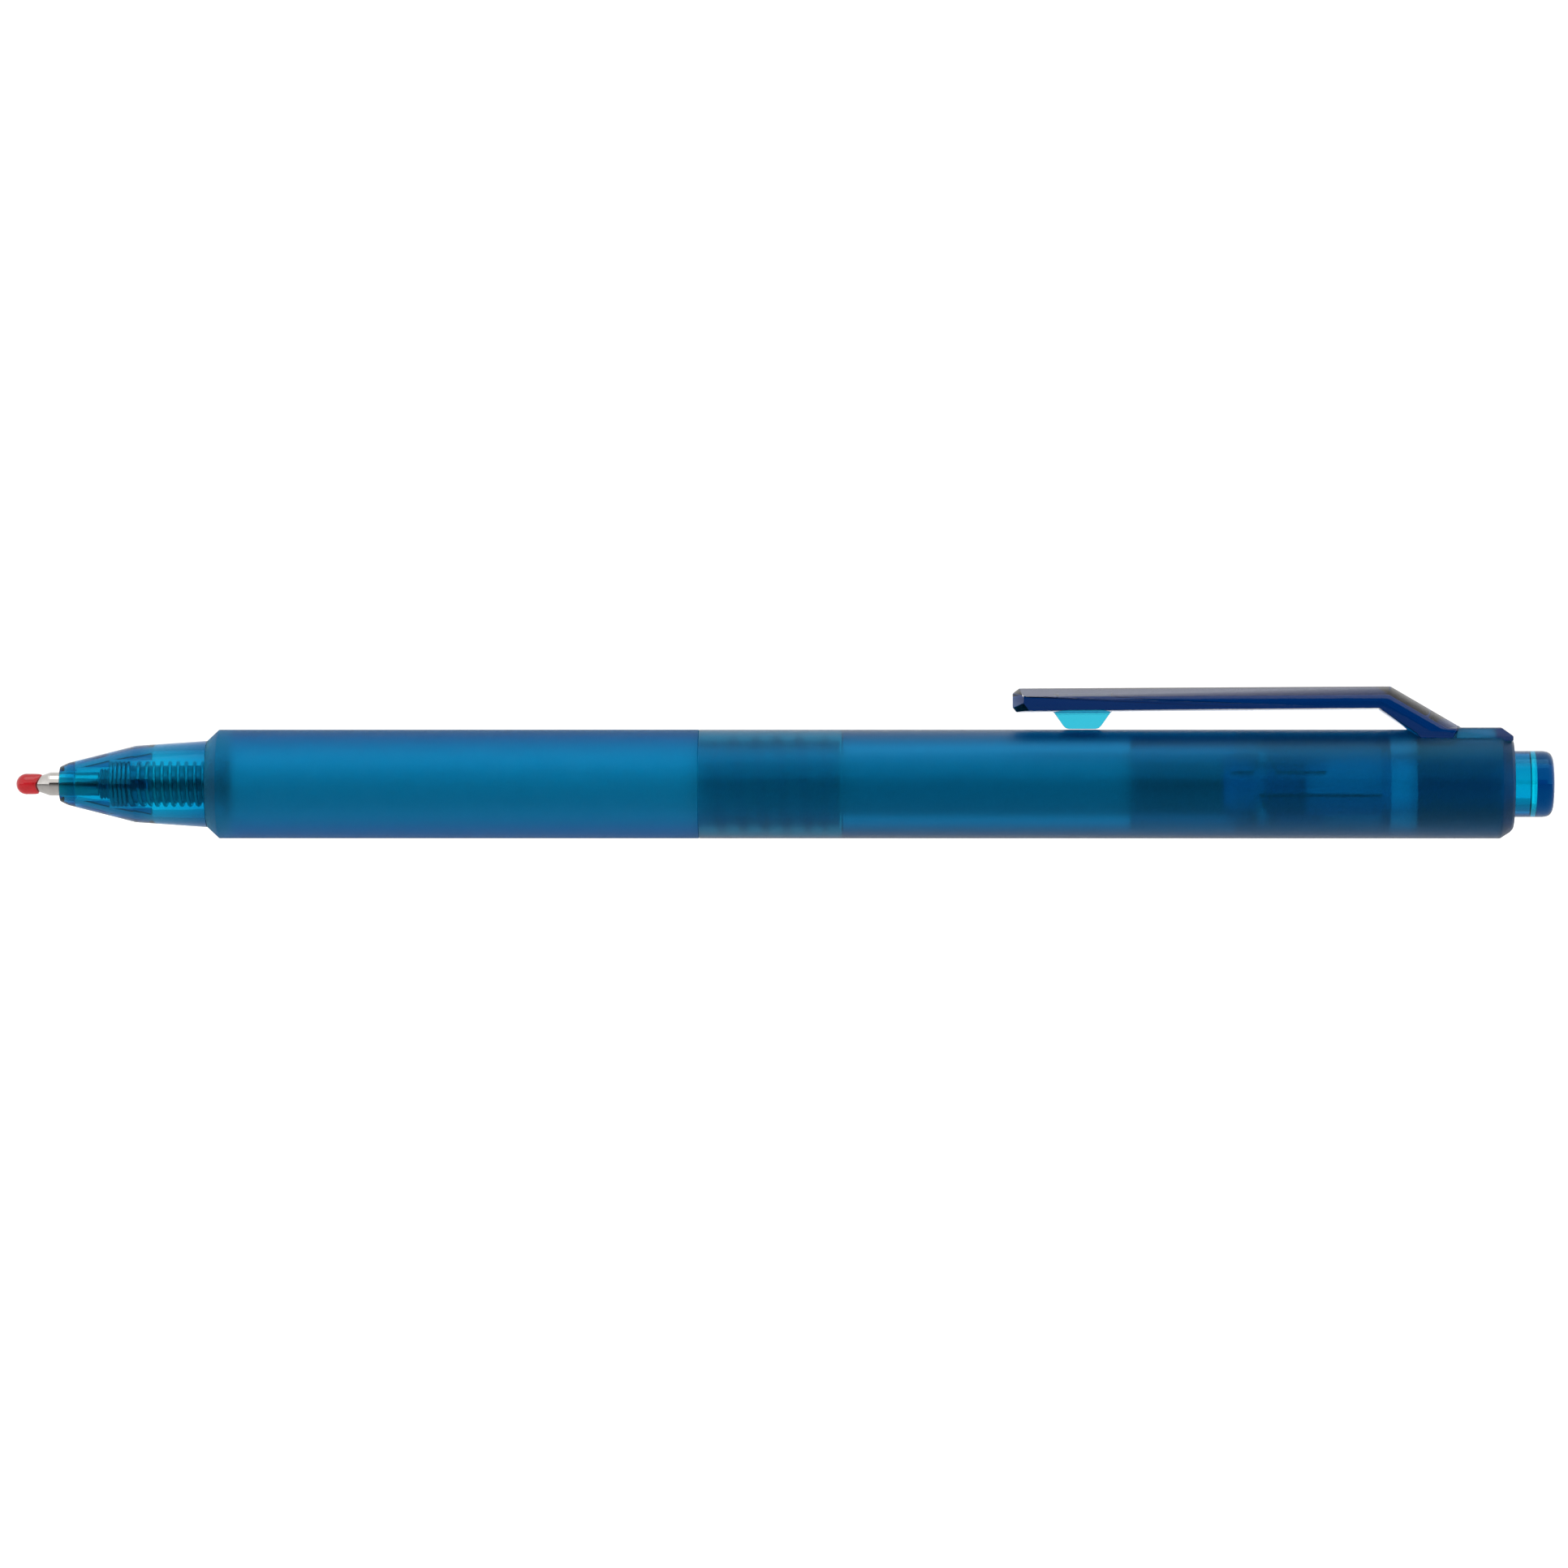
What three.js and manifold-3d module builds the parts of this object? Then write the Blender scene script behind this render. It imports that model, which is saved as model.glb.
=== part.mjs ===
// Retractable gel pen with a see-through blue body, in millimetres.
// The pen lies along X with its point at -X, its push button at +X and its clip on top (+Z).
// x = 0 is the middle of its length, and the barrel rests on z = 0. It is shown with the point out.
import * as THREE from "three";
import { mergeVertices } from "three/addons/utils/BufferGeometryUtils.js";
import Module from "manifold-3d";

const wasm = await Module();
wasm.setup();

// Driving dimensions. Every x is a station along the pen, and every radius is from its axis.
const FACETS = 24;
const FINE_FACETS = 16;
const FIT = 0.05; // radial gap between pieces that fit inside each other
const FACE_GAP = 0.1; // gap between faces that meet
const WELD = 0.1; // how far joined shapes reach into each other
const CUT_MARGIN = 1; // how far a cut runs past what it cuts

const LENGTH = 141.3;
const FRONT_END = -LENGTH / 2;
const REAR_END = LENGTH / 2;
const BARREL_RADIUS = 5;
const AXIS_HEIGHT = BARREL_RADIUS * Math.cos(Math.PI / FACETS); // the barrel rests on one facet

const SEAM = -7.74; // where the front and rear barrels meet
const GRIP_FRONT = -52.94;
const GRIP_FRONT_RADIUS = 4.03;
const GRIP_CHAMFER_END = -51.9;
const GRIP_BORE_RADIUS = 3.2;

const SPIGOT_END = 5.32;
const SPIGOT_RADIUS = 4.2;
const THREAD_PITCH = 2;
const THREAD_TURNS = 4.7;
const THREAD_START = -6;
const THREAD_CREST_RADIUS = 4.45;
const THREAD_STEPS_PER_TURN = 24;
const SOCKET_RADIUS = 4.55;
const SOCKET_END = 5.82;

const NOSE_FRONT = -66.56;
const NOSE_REAR = -50;
const NOSE_SHOULDER = -53.2;
const NOSE_SIDE = [
  [NOSE_FRONT, 1.5],
  [-66.4, 1.72],
  [-65.8, 1.95],
  [-59.83, 3.49],
  [-59.24, 3.575],
  [NOSE_SHOULDER, 3.99],
];
const NOSE_BORE_RADIUS = 1.2;
const NOSE_SPIGOT_RADIUS = 3.6;
const NOSE_REAR_BORE_RADIUS = 3.13;
const NOSE_CAVITY_FRONT = -65.1;
const NOSE_CAVITY_FRONT_RADIUS = 1.45;
const SPRING_SEAT = -61.95;
const SPRING_SEAT_RADIUS = 2.2;
const NOSE_CAVITY_REAR = -57.8;
const FIN_COUNT = 4;
const FIN_WIDTH = 0.9;
const FIN_INNER_RADIUS = 1.5;
const FIN_REAR_INNER_RADIUS = 2.22;
const FIN_REAR = -58.3;
const FIN_REACH = 4; // past the cavity's wall

const REAR_BORE_RADIUS = 4.1;
const REAR_BORE_FRONT = 6.32;
const REAR_CHAMFER_START = 65.8;
const REAR_CHAMFER_END = 66.7;
const REAR_CHAMFER_RADIUS = 4.43;
const REAR_FACE = 66.95;
const REAR_FACE_RADIUS = 4.2;
const REAR_HOLE_RADIUS = 3.2;
const REAR_WALL_FRONT = 65.7;
const CLIP_SLOT = { front: 56.9, halfWidth: 2.7, floor: 3.95 };

const BUSH = { front: 58, rear: 65.6, bore: 3.15 };
const SLEEVE = { front: 31.9, rear: 55.6, bore: 3.7, stopFront: 54.8, stopBore: 3.13 };
const RAIL = { count: 3, front: 43.6, slant: 0.8, width: 1.7, inner: 3.2, angle: 0 };
const KEY = { front: 44.6, rear: 49.65, width: 1.6, inner: 2.75, outer: 3.55, angle: 60, slant: 0.6 };

const BUTTON_RADIUS = 3.05;
const BUTTON_BORE_RADIUS = 2.5;
const BUTTON_FRONT = 44.2;
const BUTTON_CORNER_RADIUS = 1;
const BUTTON_BORE_END = 68.6;
const BUTTON_TIP_BORE_RADIUS = 2;
const BUTTON_TIP_BORE_END = 69.2;

const CAM = { plugFront: 37.2, flangeRear: 43.4, stemRear: 48, plugRadius: 2.45, stemRadius: 2.2 };
const CAM_RIB = { front: 41, rear: 43.6, inner: 2.3 };

const REFILL_RADIUS = 3;
const REFILL_BORE_RADIUS = 2.55;
const REFILL_FRONT = -50.55;
const REFILL_REAR = 40.3;
const HOLDER_FRONT = -62.75;
const HOLDER_COLLAR_RADIUS = 1.39;
const HOLDER_GROOVES = [-62.5, -62.2];
const HOLDER_GROOVE_WIDTH = 0.12;
const HOLDER_GROOVE_DEPTH = 0.12;
const HOLDER_NECK_RADIUS = 1.62;
const HOLDER_NECK_FRONT = -60.7;
const HOLDER_FLANGE_FRONT = -51.25;
const HOLDER_PLUG_REAR = -47.6;
const HOLDER_BORE_RADIUS = 0.75;
const HOLDER_SOCKET_REAR = -60.4;

const CONE_FRONT = -69.95;
const CONE_LIP_RADIUS = 0.3;
const CONE_TAPER_START = -69.75;
const CONE_TAPER_END = -67.5;
const CONE_RADIUS = 1.09;
const CONE_SHOULDER = -62.85;
const CONE_STEM_RADIUS = 0.85;
const CONE_STEM_REAR = -60.5;
const INK_CHANNEL_RADIUS = 0.4;
const INK_CHANNEL_FRONT = -69.2;
const BALL_RADIUS = 0.25;
const BALL_X = -69.86;
const BALL_SEAT = -69.6;
const BALL_SEAT_RADIUS = 0.27;
const BALL_FEED_RADIUS = 0.12;

const INK_RADIUS = 2.5;
const INK_FRONT = -47.5;
const INK_REAR = 12;
const FOLLOWER_REAR = 16;

const SEAL_RADIUS = 0.96;
const SEAL_REAR = -68.6;
const SEAL_REAR_RADIUS = 0.9;
const SEAL_GAP = 0.04;

const SPRING = {
  front: -61.72,
  rear: -51.48,
  meanRadius: 1.94,
  wireRadius: 0.18,
  closedPitch: 0.39,
  closedTurns: 4,
  openTurns: 12,
  stepsPerTurn: 16,
  wireSides: 5,
};

// Clip stations: z values are above the pen's axis.
const CLIP_HALF_WIDTH = 2.5;
const CLIP_CHAMFER = 0.45;
const CLIP_ARM = [
  [21.1, 7],
  [21.4, 6.58],
  [54.6, 6.81],
  [61, 2.66],
  [63.5, 4.34],
  [55.7, 8.95],
  [21.6, 8.76],
  [21.1, 8.3],
];
const CLIP_ARM_FLOOR = { front: 57, rear: 67, z: 4.35 }; // the arm's underside inside the slot
const CLIP_SPLIT = { x: 59.4, z: 5.3, slopeDegrees: 30.6, halfGap: 0.15, reach: 8 };
const CLIP_ROOT = [
  [57.5, 4.15],
  [66.85, 4.15],
  [66.85, 4.6],
  [65.8, 5.21],
  [62.1, 5.21],
  [58.5, 7.34],
];
const CLIP_ROOT_HALF_WIDTH = 2.65;
const LUG = [
  [24.9, 6.8],
  [25.9, 5.1],
  [29.1, 5.1],
  [30.1, 6.8],
];
const LUG_HALF_WIDTH = 0.7;

const toXAxis = new THREE.Matrix4().makeRotationZ(-Math.PI / 2);

// A three.js geometry as a closed manifold-3d solid.
function solidOf(geometry) {
  const bare = geometry.clone();
  bare.deleteAttribute("normal");
  bare.deleteAttribute("uv");
  const merged = mergeVertices(bare, 1e-4);
  return new wasm.Manifold(
    new wasm.Mesh({
      numProp: 3,
      vertProperties: new Float32Array(merged.attributes.position.array),
      triVerts: new Uint32Array(merged.index.array),
    }),
  );
}

// A manifold-3d solid as a geometry that three.js can draw.
function geometryOf(solid) {
  const { vertProperties, triVerts } = solid.getMesh();
  const geometry = new THREE.BufferGeometry();
  geometry.setAttribute("position", new THREE.BufferAttribute(vertProperties, 3));
  geometry.setIndex(new THREE.BufferAttribute(triVerts, 1));
  return geometry;
}

// A piece turned about the pen's axis. The outline is a list of [x, radius], first along the
// outside from the point to the button, then back along the inside, and it closes on itself.
function turned(outline, facets = FACETS) {
  const points = [...outline, outline[0]].map(([x, radius]) => new THREE.Vector2(radius, x));
  return new THREE.LatheGeometry(points, facets, Math.PI / facets).applyMatrix4(toXAxis);
}

// Points of a round in an outline, from one angle to another about [x, radius].
function arc([x, radius], size, fromDegrees, toDegrees, steps) {
  return Array.from({ length: steps + 1 }, (_, i) => {
    const angle = THREE.MathUtils.degToRad(
      THREE.MathUtils.lerp(fromDegrees, toDegrees, i / steps),
    );
    return [x + size * Math.cos(angle), radius + size * Math.sin(angle)];
  });
}

// A side outline of [x, z] points, given width across the pen.
function across(outline, halfWidth, chamfer = 0) {
  const shape = new THREE.Shape(outline.map(([x, z]) => new THREE.Vector2(x, z)));
  return new THREE.ExtrudeGeometry(shape, {
    depth: 2 * (halfWidth - chamfer),
    bevelEnabled: chamfer > 0,
    bevelThickness: chamfer,
    bevelSize: chamfer,
    bevelOffset: -chamfer,
    bevelSegments: 1,
  })
    .translate(0, 0, -(halfWidth - chamfer))
    .rotateX(Math.PI / 2);
}

// Bars that stand out from the axis like spokes, each with a slanted front or rear end.
function spokes({ count, angle, front, rear, inner, outer, width, frontSlant = 0, rearSlant = 0 }) {
  const shape = new THREE.Shape([
    new THREE.Vector2(front, -width / 2),
    new THREE.Vector2(rear, -width / 2),
    new THREE.Vector2(rear - rearSlant, width / 2),
    new THREE.Vector2(front + frontSlant, width / 2),
  ]);
  const bar = new THREE.ExtrudeGeometry(shape, { depth: outer - inner, bevelEnabled: false });
  bar.translate(0, 0, inner);
  return Array.from({ length: count }, (_, i) =>
    solidOf(bar.clone().rotateX(THREE.MathUtils.degToRad(angle + (360 / count) * i))),
  );
}

// A wire or ridge wound round the pen's axis.
class Winding extends THREE.Curve {
  constructor(radius, turns, stationAt) {
    super();
    this.radius = radius;
    this.turns = turns;
    this.stationAt = stationAt;
  }

  getPoint(t, target = new THREE.Vector3()) {
    const angle = 2 * Math.PI * this.turns * t;
    return target.set(
      this.stationAt(this.turns * t),
      this.radius * Math.cos(angle),
      this.radius * Math.sin(angle),
    );
  }

  // The section's first axis always points straight away from the pen's axis.
  computeFrenetFrames(steps) {
    const stations = Array.from({ length: steps + 1 }, (_, i) => i / steps);
    const tangents = stations.map((t) => this.getTangentAt(t));
    const normals = stations.map((t) => this.getPointAt(t).setX(0).normalize());
    const binormals = normals.map((normal, i) =>
      new THREE.Vector3().crossVectors(tangents[i], normal).normalize(),
    );
    return { tangents, normals, binormals };
  }
}

function wound(section, winding, steps) {
  winding.arcLengthDivisions = steps * 4;
  return new THREE.ExtrudeGeometry(new THREE.Shape(section), {
    steps,
    bevelEnabled: false,
    extrudePath: winding,
  });
}

function tipSeal() {
  const bore = (x) =>
    SEAL_GAP +
    THREE.MathUtils.mapLinear(x, CONE_TAPER_START, CONE_TAPER_END, CONE_LIP_RADIUS, CONE_RADIUS);
  const domeCentre = FRONT_END + SEAL_RADIUS;
  return turned(
    [
      ...arc([domeCentre, 0], SEAL_RADIUS, 180, 90, 6),
      [SEAL_REAR, SEAL_REAR_RADIUS],
      [SEAL_REAR, bore(SEAL_REAR)],
      [CONE_TAPER_START, bore(CONE_TAPER_START)],
      [BALL_X - BALL_RADIUS - SEAL_GAP, CONE_LIP_RADIUS + SEAL_GAP],
      [BALL_X - BALL_RADIUS - SEAL_GAP, 0],
    ],
    FINE_FACETS,
  );
}

function writingBall() {
  return new THREE.SphereGeometry(BALL_RADIUS, 12, 8).translate(BALL_X, 0, 0);
}

function tipCone() {
  return turned(
    [
      [CONE_FRONT, CONE_LIP_RADIUS],
      [CONE_TAPER_START, CONE_LIP_RADIUS],
      [CONE_TAPER_END, CONE_RADIUS],
      [CONE_SHOULDER, CONE_RADIUS],
      [CONE_SHOULDER, CONE_STEM_RADIUS],
      [CONE_STEM_REAR, CONE_STEM_RADIUS],
      [CONE_STEM_REAR, INK_CHANNEL_RADIUS],
      [INK_CHANNEL_FRONT, INK_CHANNEL_RADIUS],
      [INK_CHANNEL_FRONT, BALL_FEED_RADIUS],
      [BALL_SEAT, BALL_FEED_RADIUS],
      [BALL_SEAT, BALL_SEAT_RADIUS],
      [CONE_FRONT, BALL_SEAT_RADIUS],
    ],
    FINE_FACETS,
  );
}

function tipHolder() {
  const grooves = HOLDER_GROOVES.flatMap((x) => [
    [x, HOLDER_COLLAR_RADIUS],
    [x, HOLDER_COLLAR_RADIUS - HOLDER_GROOVE_DEPTH],
    [x + HOLDER_GROOVE_WIDTH, HOLDER_COLLAR_RADIUS - HOLDER_GROOVE_DEPTH],
    [x + HOLDER_GROOVE_WIDTH, HOLDER_COLLAR_RADIUS],
  ]);
  return turned([
    [HOLDER_FRONT, HOLDER_COLLAR_RADIUS],
    ...grooves,
    [HOLDER_NECK_FRONT, HOLDER_COLLAR_RADIUS],
    [HOLDER_NECK_FRONT, HOLDER_NECK_RADIUS],
    [HOLDER_FLANGE_FRONT, HOLDER_NECK_RADIUS],
    [HOLDER_FLANGE_FRONT, REFILL_RADIUS],
    [REFILL_FRONT - FIT, REFILL_RADIUS],
    [REFILL_FRONT - FIT, REFILL_BORE_RADIUS - FIT],
    [HOLDER_PLUG_REAR, REFILL_BORE_RADIUS - FIT],
    [HOLDER_PLUG_REAR, HOLDER_BORE_RADIUS],
    [HOLDER_SOCKET_REAR, HOLDER_BORE_RADIUS],
    [HOLDER_SOCKET_REAR, CONE_STEM_RADIUS + FIT],
    [HOLDER_FRONT, CONE_STEM_RADIUS + FIT],
  ]);
}

function refillTube() {
  return turned([
    [REFILL_FRONT, REFILL_RADIUS],
    [REFILL_REAR, REFILL_RADIUS],
    [REFILL_REAR, REFILL_BORE_RADIUS],
    [REFILL_FRONT, REFILL_BORE_RADIUS],
  ]);
}

function liquidColumn(front, rear) {
  return turned([
    [front, 0],
    [front, INK_RADIUS],
    [rear, INK_RADIUS],
    [rear, 0],
  ]);
}

// Four closed coils sit on the nose cone's fins, and open coils reach back to the refill.
function returnSpring() {
  const turns = SPRING.closedTurns + SPRING.openTurns;
  const closedLength = SPRING.closedTurns * SPRING.closedPitch;
  const openPitch = (SPRING.rear - SPRING.front - closedLength) / SPRING.openTurns;
  const station = (turn) =>
    SPRING.front +
    Math.min(turn, SPRING.closedTurns) * SPRING.closedPitch +
    Math.max(turn - SPRING.closedTurns, 0) * openPitch;
  const section = arc([0, 0], SPRING.wireRadius, 0, 360 - 360 / SPRING.wireSides, SPRING.wireSides - 1);
  return wound(
    section.map(([x, y]) => new THREE.Vector2(x, y)),
    new Winding(SPRING.meanRadius, turns, station),
    turns * SPRING.stepsPerTurn,
  );
}

// A tapered nose with a short bore for the point. Four fins inside carry the spring.
function noseCone() {
  const body = turned([
    [NOSE_FRONT, NOSE_BORE_RADIUS],
    ...NOSE_SIDE,
    [NOSE_SHOULDER, NOSE_SPIGOT_RADIUS],
    [NOSE_REAR, NOSE_SPIGOT_RADIUS],
    [NOSE_REAR, NOSE_BORE_RADIUS],
  ]);
  const cavity = turned([
    [NOSE_CAVITY_FRONT, 0],
    [NOSE_CAVITY_FRONT, NOSE_CAVITY_FRONT_RADIUS],
    [SPRING_SEAT, SPRING_SEAT_RADIUS],
    [NOSE_CAVITY_REAR, NOSE_REAR_BORE_RADIUS],
    [NOSE_REAR + CUT_MARGIN, NOSE_REAR_BORE_RADIUS],
    [NOSE_REAR + CUT_MARGIN, 0],
  ]);
  const fin = { count: FIN_COUNT, angle: 0, width: FIN_WIDTH, outer: FIN_REACH };
  const fins = [
    ...spokes({
      ...fin,
      front: NOSE_CAVITY_FRONT - CUT_MARGIN,
      rear: SPRING_SEAT,
      inner: FIN_INNER_RADIUS,
    }),
    ...spokes({
      ...fin,
      front: SPRING_SEAT - WELD,
      rear: FIN_REAR,
      inner: FIN_REAR_INNER_RADIUS,
    }),
  ];
  const hollow = fins.reduce((rest, each) => rest.subtract(each), solidOf(cavity));
  return geometryOf(solidOf(body).subtract(hollow));
}

// The grip half of the barrel, with a threaded spigot that screws into the rear half.
function frontBarrel() {
  const tube = turned([
    [GRIP_FRONT, GRIP_FRONT_RADIUS],
    [GRIP_CHAMFER_END, BARREL_RADIUS],
    [SEAM - FACE_GAP / 2, BARREL_RADIUS],
    [SEAM - FACE_GAP / 2, SPIGOT_RADIUS],
    [SPIGOT_END, SPIGOT_RADIUS],
    [SPIGOT_END, GRIP_BORE_RADIUS],
    [NOSE_REAR + FACE_GAP, GRIP_BORE_RADIUS],
    [NOSE_REAR + FACE_GAP, NOSE_SPIGOT_RADIUS + FIT],
    [GRIP_FRONT, NOSE_SPIGOT_RADIUS + FIT],
  ]);
  const ridgeHalfWidth = THREAD_PITCH / 5;
  const ridgeDepth = THREAD_CREST_RADIUS - SPIGOT_RADIUS;
  const section = [
    new THREE.Vector2(ridgeDepth, -ridgeHalfWidth),
    new THREE.Vector2(ridgeDepth, ridgeHalfWidth),
    new THREE.Vector2(-ridgeDepth, ridgeHalfWidth / 2),
    new THREE.Vector2(-ridgeDepth, -ridgeHalfWidth / 2),
  ];
  const path = new Winding(
    SPIGOT_RADIUS,
    THREAD_TURNS,
    (turn) => THREAD_START + turn * THREAD_PITCH,
  );
  const ridge = wound(section, path, Math.round(THREAD_TURNS * THREAD_STEPS_PER_TURN));
  return geometryOf(solidOf(tube).add(solidOf(ridge)));
}

// The rear half of the barrel: socket, bore, end wall with the button's hole, and clip slot.
function rearBarrel() {
  const tube = turned([
    [SEAM + FACE_GAP / 2, BARREL_RADIUS],
    [REAR_CHAMFER_START, BARREL_RADIUS],
    [REAR_CHAMFER_END, REAR_CHAMFER_RADIUS],
    [REAR_FACE, REAR_FACE_RADIUS],
    [REAR_FACE, REAR_HOLE_RADIUS],
    [REAR_WALL_FRONT, REAR_HOLE_RADIUS],
    [REAR_WALL_FRONT, REAR_BORE_RADIUS],
    [REAR_BORE_FRONT, REAR_BORE_RADIUS],
    [SOCKET_END, SOCKET_RADIUS],
    [SEAM + FACE_GAP / 2, SOCKET_RADIUS],
  ]);
  const { front, halfWidth, floor } = CLIP_SLOT;
  const rear = REAR_FACE + CUT_MARGIN;
  const top = BARREL_RADIUS + CUT_MARGIN;
  const slot = across(
    [
      [front, floor],
      [rear, floor],
      [rear, top],
      [front, top],
    ],
    halfWidth,
  );
  return geometryOf(solidOf(tube).subtract(solidOf(slot)));
}

// The bush that guides the button just inside the rear end.
function endBush() {
  return turned([
    [BUSH.front, REAR_BORE_RADIUS - FIT],
    [BUSH.rear, REAR_BORE_RADIUS - FIT],
    [BUSH.rear, BUSH.bore],
    [BUSH.front, BUSH.bore],
  ]);
}

// The sleeve whose rails lock the cam, with a ring at its rear end that keeps the button in.
function guideSleeve() {
  const shell = turned([
    [SLEEVE.front, REAR_BORE_RADIUS - FIT],
    [SLEEVE.rear, REAR_BORE_RADIUS - FIT],
    [SLEEVE.rear, SLEEVE.stopBore],
    [SLEEVE.stopFront, SLEEVE.stopBore],
    [SLEEVE.stopFront, SLEEVE.bore],
    [SLEEVE.front, SLEEVE.bore],
  ]);
  const rails = spokes({
    count: RAIL.count,
    angle: RAIL.angle,
    front: RAIL.front,
    rear: SLEEVE.stopFront + WELD,
    inner: RAIL.inner,
    outer: SLEEVE.bore + WELD,
    width: RAIL.width,
    frontSlant: RAIL.slant,
  });
  return geometryOf(rails.reduce((whole, rail) => whole.add(rail), solidOf(shell)));
}

// The button and its long tube. Three keys run between the sleeve's rails.
function pushButton() {
  const corner = [REAR_END - BUTTON_CORNER_RADIUS, BUTTON_RADIUS - BUTTON_CORNER_RADIUS];
  const body = turned([
    [BUTTON_FRONT, BUTTON_RADIUS],
    ...arc(corner, BUTTON_CORNER_RADIUS, 90, 0, 5),
    [REAR_END, 0],
    [BUTTON_TIP_BORE_END, 0],
    [BUTTON_TIP_BORE_END, BUTTON_TIP_BORE_RADIUS],
    [BUTTON_BORE_END, BUTTON_TIP_BORE_RADIUS],
    [BUTTON_BORE_END, BUTTON_BORE_RADIUS],
    [BUTTON_FRONT, BUTTON_BORE_RADIUS],
  ]);
  const keys = spokes({
    count: RAIL.count,
    angle: KEY.angle,
    front: KEY.front,
    rear: KEY.rear,
    inner: KEY.inner,
    outer: KEY.outer,
    width: KEY.width,
    frontSlant: KEY.slant,
  });
  return geometryOf(keys.reduce((whole, key) => whole.add(key), solidOf(body)));
}

// The cam: a plug in the refill's open end, a flange, three slanted ribs and a stem.
function rotaryCam() {
  const flangeRadius = REFILL_RADIUS - FIT;
  const body = turned([
    [CAM.plugFront, 0],
    [CAM.plugFront, CAM.plugRadius],
    [REFILL_REAR + FACE_GAP, CAM.plugRadius],
    [REFILL_REAR + FACE_GAP, flangeRadius],
    [CAM.flangeRear, flangeRadius],
    [CAM.flangeRear, CAM.stemRadius],
    [CAM.stemRear, CAM.stemRadius],
    [CAM.stemRear, 0],
  ]);
  const ribs = spokes({
    count: RAIL.count,
    angle: KEY.angle,
    front: CAM_RIB.front,
    rear: CAM_RIB.rear,
    inner: CAM_RIB.inner,
    outer: KEY.outer,
    width: KEY.width,
    rearSlant: KEY.slant,
  });
  return geometryOf(ribs.reduce((whole, rib) => whole.add(rib), solidOf(body)));
}

// A block that covers everything past the flex line, on the arm's side (-1) or the root's (+1).
function pastClipSplit(side) {
  const { x, z, slopeDegrees, halfGap, reach } = CLIP_SPLIT;
  const block = new THREE.BoxGeometry(reach, reach, reach);
  block.translate(side * (reach / 2 - halfGap), 0, 0);
  return solidOf(block.rotateY(THREE.MathUtils.degToRad(slopeDegrees)).translate(x, 0, z));
}

// The springy arm with the lug that grips a pocket. It bends where it meets the root.
function clipArm() {
  const { front, rear, z } = CLIP_ARM_FLOOR;
  const below = across(
    [
      [front, 0],
      [rear, 0],
      [rear, z],
      [front, z],
    ],
    CLIP_HALF_WIDTH + CUT_MARGIN,
  );
  const arm = solidOf(across(CLIP_ARM, CLIP_HALF_WIDTH, CLIP_CHAMFER))
    .subtract(solidOf(below))
    .subtract(pastClipSplit(1));
  return geometryOf(arm.add(solidOf(across(LUG, LUG_HALF_WIDTH))));
}

function clipRoot() {
  const block = solidOf(across(CLIP_ROOT, CLIP_ROOT_HALF_WIDTH));
  return geometryOf(block.subtract(pastClipSplit(-1)));
}

const clearBlue = { color: "#1a90c0", roughness: 0.1, metalness: 0 };
const frostedBlue = { color: "#0a76a8", roughness: 0.5, metalness: 0 };
const deepBlue = { color: "#04386c", roughness: 0.15, metalness: 0 };
const steel = { color: "#c8c3bd", roughness: 0.3, metalness: 1 };

const pen = new THREE.Group();
pen.position.z = AXIS_HEIGHT;

function addPiece(name, geometry, material) {
  const mesh = new THREE.Mesh(geometry, new THREE.MeshStandardMaterial(material));
  mesh.name = name;
  pen.add(mesh);
}

addPiece("tip_seal", tipSeal(), { color: "#c81e28", roughness: 0.3, metalness: 0 });
addPiece("writing_ball", writingBall(), { color: "#8c8c90", roughness: 0.2, metalness: 1 });
addPiece("tip_cone", tipCone(), steel);
addPiece("tip_holder", tipHolder(), { color: "#b9c4cc", roughness: 0.4, metalness: 0 });
addPiece("refill_tube", refillTube(), { color: "#d8e2e8", roughness: 0.3, metalness: 0 });
addPiece("ink_column", liquidColumn(INK_FRONT, INK_REAR), { color: "#12309a", roughness: 0.4 });
addPiece("ink_follower", liquidColumn(INK_REAR + FACE_GAP, FOLLOWER_REAR), {
  color: "#e8e4c8",
  roughness: 0.2,
});
addPiece("return_spring", returnSpring(), steel);
addPiece("nose_cone", noseCone(), clearBlue);
addPiece("front_barrel", frontBarrel(), frostedBlue);
addPiece("rear_barrel", rearBarrel(), frostedBlue);
addPiece("end_bush", endBush(), deepBlue);
addPiece("guide_sleeve", guideSleeve(), frostedBlue);
addPiece("push_button", pushButton(), clearBlue);
addPiece("rotary_cam", rotaryCam(), deepBlue);
addPiece("clip_arm", clipArm(), deepBlue);
addPiece("clip_root", clipRoot(), deepBlue);

export default pen;
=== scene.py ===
"""Looks for a retractable gel pen with a see-through blue body, built round its CAD frame.

Every piece is made fresh as a smooth solid with real wall thickness and replaces its CAD node.
Shapes are written in millimetres, as stations x along the pen and radii from its axis.
"""

import math

import bmesh
import bpy
from mathutils import Matrix, Vector


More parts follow.
